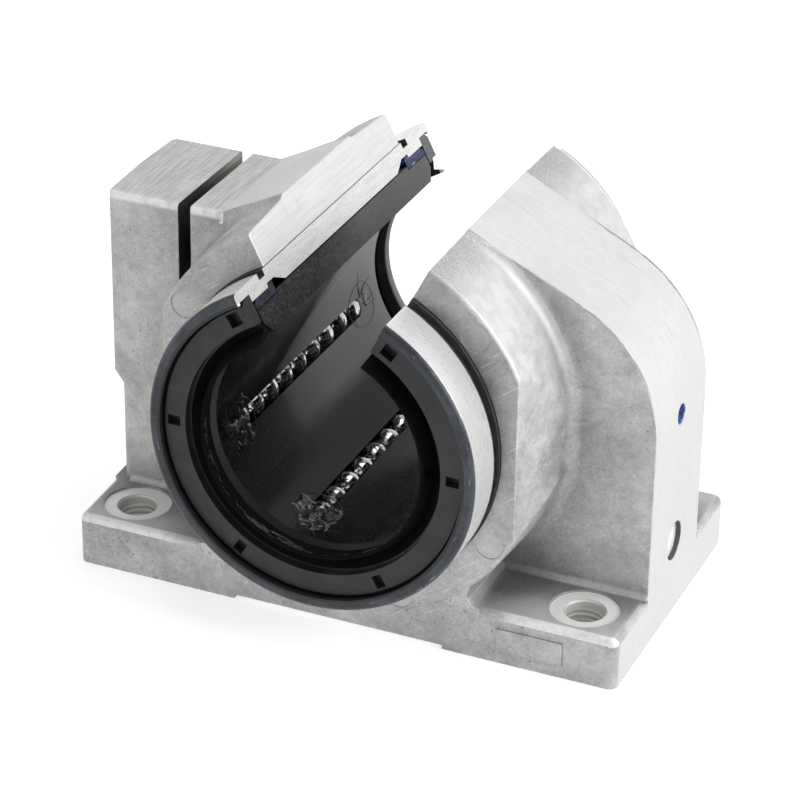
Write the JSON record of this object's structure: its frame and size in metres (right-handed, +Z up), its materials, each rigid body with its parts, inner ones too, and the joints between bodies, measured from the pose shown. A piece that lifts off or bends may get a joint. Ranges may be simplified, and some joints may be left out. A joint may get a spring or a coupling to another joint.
{
  "type": "linear bearing block",
  "caption": "Open, slotted aluminium bearing block whose recirculating balls run along a supported shaft.",
  "frame": {"origin": "middle of the rectangle around the base's underside, below the middle of the shaft axis", "axes": "+X across the base towards the machined side with the locating screw, +Y along the shaft from the front to the rear, +Z up through the middle of the opening"},
  "size_m": [0.13, 0.1, 0.0919],
  "materials": {
    "housing": "as cast, with machined right side, left top and cut faces",
    "outer_ring": "ground",
    "ball_cage": "moulded, covered with dark grease",
    "end_ring": "satin moulded",
    "seal_lip": "soft, slightly translucent",
    "grease_ring": "translucent",
    "balls": "polished",
    "locating_screw": "blue thread-locking coat",
    "adjusting_screw": "black oxide"
  },
  "bodies": {
    "block": {"housing": "housing", "outer_ring": "outer_ring", "ball_cage": "ball_cage", "end_ring_front": "end_ring", "end_ring_rear": "end_ring", "seal_lip_front": "seal_lip", "seal_lip_rear": "seal_lip", "grease_ring_front": "grease_ring", "grease_ring_rear": "grease_ring", "locating_screw": "locating_screw", "loaded_balls_1": "balls", "return_balls_1": "balls", "loaded_balls_2": "balls", "return_balls_2": "balls", "loaded_balls_3": "balls", "return_balls_3": "balls", "loaded_balls_4": "balls", "return_balls_4": "balls", "loaded_balls_5": "balls", "return_balls_5": "balls"},
    "adjuster": {"adjusting_screw": "adjusting_screw"}
  },
  "joints": [
    {"name": "adjusting_screw_turn", "type": "hinge", "parent": "block", "child": "adjuster", "pos_m": [-0.053, 0, 0.066], "axis": [1, 0, 0], "range_deg": [-90, 90]}
  ]
}
